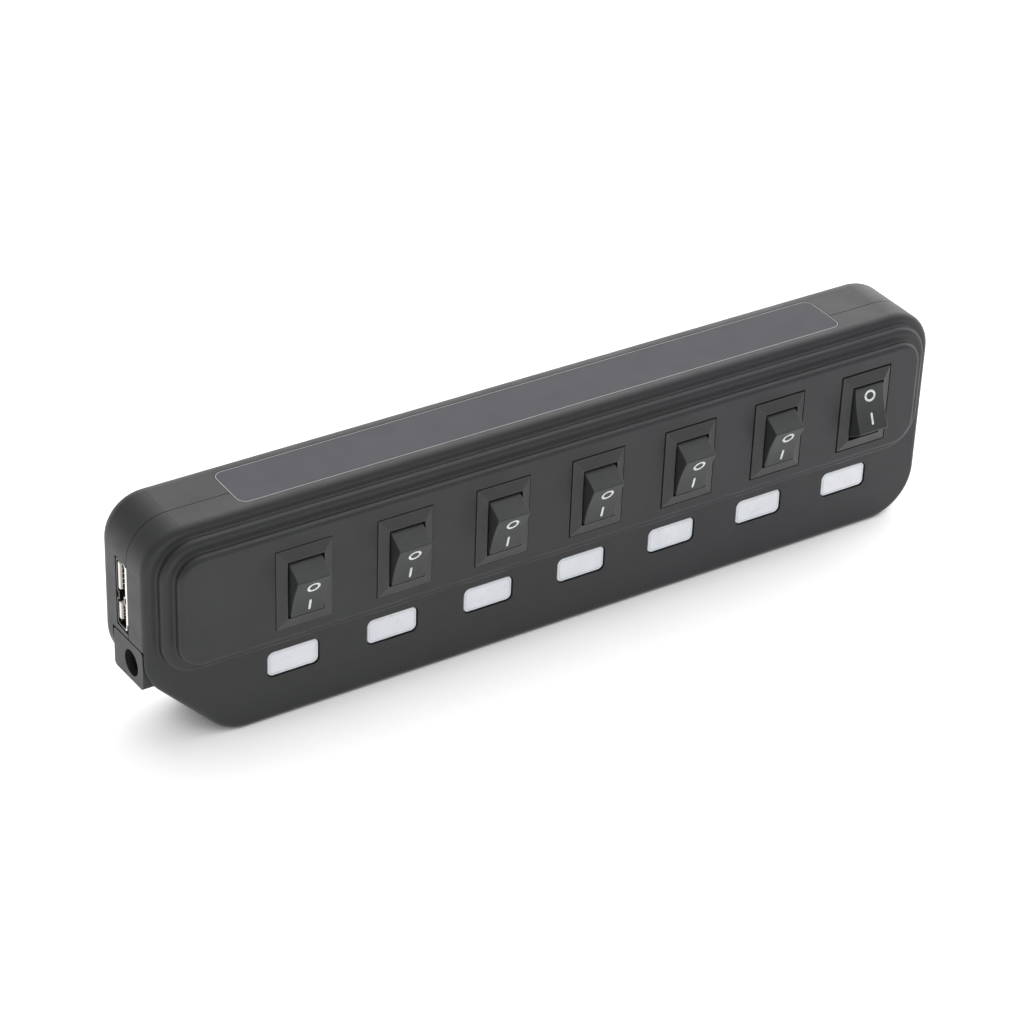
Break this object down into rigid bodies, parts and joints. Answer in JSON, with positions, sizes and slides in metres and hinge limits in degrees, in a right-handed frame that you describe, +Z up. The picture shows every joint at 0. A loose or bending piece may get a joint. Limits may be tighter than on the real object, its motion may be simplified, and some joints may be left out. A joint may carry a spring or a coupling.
{
  "type": "usb hub",
  "caption": "Desktop USB hub: long charcoal case with stepped face, a rocker switch and a lamp window for each port, micro-B and power sockets at one end.",
  "frame": {"origin": "middle of the box's underside, where the port side meets the table", "axes": "+X along the hub, away from the micro-B and power socket end; +Y from the switch face to the back; +Z up, away from the port side"},
  "size_m": [0.1582, 0.0238, 0.0428],
  "materials": {
    "case": "charcoal satin moulded ABS with a fine spark-eroded grain",
    "switch_black": "black nylon, slightly smoother than the case",
    "rocker_black": "black nylon rocker, smooth",
    "label": "blank grey label film, satin",
    "window": "milky white translucent polycarbonate",
    "board": "green solder-masked glass-epoxy board",
    "lamp": "surface-mounted lamp",
    "chip": "moulded epoxy chip package",
    "capacitor": "aluminium can",
    "nickel": "nickel-plated steel sheet",
    "steel": "black zinc-plated steel",
    "brass": "plated brass",
    "tongue_blue": "blue moulded socket tongue",
    "tongue_light": "natural off-white moulded socket tongue",
    "socket_black": "black moulded socket body",
    "rubber": "soft black rubber"
  },
  "bodies": {
    "hub_case": {"front_shell": "case", "rear_shell": "case", "label_plate": "label", "case_screws": "steel", "rubber_feet": "rubber", "window_strip": "window", "led_board": "board", "leds": "lamp", "main_board": "board", "hub_chips": "chip", "crystals": "steel", "capacitors": "capacitor", "micro_b_shell": "nickel", "micro_b_tongue": "tongue_light", "power_jack_housing": "socket_black", "power_jack_pin": "brass", "power_jack_spring": "brass", "switch_blades": "brass", "switch_housing_1": "switch_black", "usb_port_shell_1": "nickel", "usb_port_tongue_1": "tongue_blue", "switch_housing_2": "switch_black", "usb_port_shell_2": "nickel", "usb_port_tongue_2": "tongue_blue", "switch_housing_3": "switch_black", "usb_port_shell_3": "nickel", "usb_port_tongue_3": "tongue_blue", "switch_housing_4": "switch_black", "usb_port_shell_4": "nickel", "usb_port_tongue_4": "tongue_blue", "switch_housing_5": "switch_black", "usb_port_shell_5": "nickel", "usb_port_tongue_5": "tongue_blue", "switch_housing_6": "switch_black", "usb_port_shell_6": "nickel", "usb_port_tongue_6": "tongue_blue", "switch_housing_7": "switch_black", "usb_port_shell_7": "nickel", "usb_port_tongue_7": "tongue_blue"},
    "rocker_1": {"rocker_1": "rocker_black", "plunger_1": "brass"},
    "contact_lever_1": {"contact_lever_1": "brass"},
    "rocker_2": {"rocker_2": "rocker_black", "plunger_2": "brass"},
    "contact_lever_2": {"contact_lever_2": "brass"},
    "rocker_3": {"rocker_3": "rocker_black", "plunger_3": "brass"},
    "contact_lever_3": {"contact_lever_3": "brass"},
    "rocker_4": {"rocker_4": "rocker_black", "plunger_4": "brass"},
    "contact_lever_4": {"contact_lever_4": "brass"},
    "rocker_5": {"rocker_5": "rocker_black", "plunger_5": "brass"},
    "contact_lever_5": {"contact_lever_5": "brass"},
    "rocker_6": {"rocker_6": "rocker_black", "plunger_6": "brass"},
    "contact_lever_6": {"contact_lever_6": "brass"},
    "rocker_7": {"rocker_7": "rocker_black", "plunger_7": "brass"},
    "contact_lever_7": {"contact_lever_7": "brass"}
  },
  "joints": [
    {"name": "rocker_1_tilt", "type": "hinge", "parent": "hub_case", "child": "rocker_1", "pos_m": [-0.05194, -0.00719, 0.028], "axis": [1, 0, 0], "range_deg": [-36, 0]},
    {"name": "contact_lever_1_tilt", "type": "hinge", "parent": "hub_case", "child": "contact_lever_1", "pos_m": [-0.05194, 0.00111, 0.028], "axis": [1, 0, 0], "range_deg": [0, 14.4]},
    {"name": "rocker_2_tilt", "type": "hinge", "parent": "hub_case", "child": "rocker_2", "pos_m": [-0.03291, -0.00719, 0.028], "axis": [1, 0, 0], "range_deg": [-36, 0]},
    {"name": "contact_lever_2_tilt", "type": "hinge", "parent": "hub_case", "child": "contact_lever_2", "pos_m": [-0.03291, 0.00111, 0.028], "axis": [1, 0, 0], "range_deg": [0, 14.4]},
    {"name": "rocker_3_tilt", "type": "hinge", "parent": "hub_case", "child": "rocker_3", "pos_m": [-0.01388, -0.00719, 0.028], "axis": [1, 0, 0], "range_deg": [-36, 0]},
    {"name": "contact_lever_3_tilt", "type": "hinge", "parent": "hub_case", "child": "contact_lever_3", "pos_m": [-0.01388, 0.00111, 0.028], "axis": [1, 0, 0], "range_deg": [0, 14.4]},
    {"name": "rocker_4_tilt", "type": "hinge", "parent": "hub_case", "child": "rocker_4", "pos_m": [0.00515, -0.00719, 0.028], "axis": [1, 0, 0], "range_deg": [-36, 0]},
    {"name": "contact_lever_4_tilt", "type": "hinge", "parent": "hub_case", "child": "contact_lever_4", "pos_m": [0.00515, 0.00111, 0.028], "axis": [1, 0, 0], "range_deg": [0, 14.4]},
    {"name": "rocker_5_tilt", "type": "hinge", "parent": "hub_case", "child": "rocker_5", "pos_m": [0.02418, -0.00719, 0.028], "axis": [1, 0, 0], "range_deg": [-36, 0]},
    {"name": "contact_lever_5_tilt", "type": "hinge", "parent": "hub_case", "child": "contact_lever_5", "pos_m": [0.02418, 0.00111, 0.028], "axis": [1, 0, 0], "range_deg": [0, 14.4]},
    {"name": "rocker_6_tilt", "type": "hinge", "parent": "hub_case", "child": "rocker_6", "pos_m": [0.04321, -0.00719, 0.028], "axis": [1, 0, 0], "range_deg": [-36, 0]},
    {"name": "contact_lever_6_tilt", "type": "hinge", "parent": "hub_case", "child": "contact_lever_6", "pos_m": [0.04321, 0.00111, 0.028], "axis": [1, 0, 0], "range_deg": [0, 14.4]},
    {"name": "rocker_7_tilt", "type": "hinge", "parent": "hub_case", "child": "rocker_7", "pos_m": [0.06224, -0.00719, 0.028], "axis": [1, 0, 0], "range_deg": [0, 36]},
    {"name": "contact_lever_7_tilt", "type": "hinge", "parent": "hub_case", "child": "contact_lever_7", "pos_m": [0.06224, 0.00111, 0.028], "axis": [1, 0, 0], "range_deg": [-14.4, 0]}
  ],
  "couplings": [
    {"joint": "contact_lever_1_tilt", "follows": "rocker_1_tilt", "ratio": -0.4},
    {"joint": "contact_lever_2_tilt", "follows": "rocker_2_tilt", "ratio": -0.4},
    {"joint": "contact_lever_3_tilt", "follows": "rocker_3_tilt", "ratio": -0.4},
    {"joint": "contact_lever_4_tilt", "follows": "rocker_4_tilt", "ratio": -0.4},
    {"joint": "contact_lever_5_tilt", "follows": "rocker_5_tilt", "ratio": -0.4},
    {"joint": "contact_lever_6_tilt", "follows": "rocker_6_tilt", "ratio": -0.4},
    {"joint": "contact_lever_7_tilt", "follows": "rocker_7_tilt", "ratio": -0.4}
  ]
}
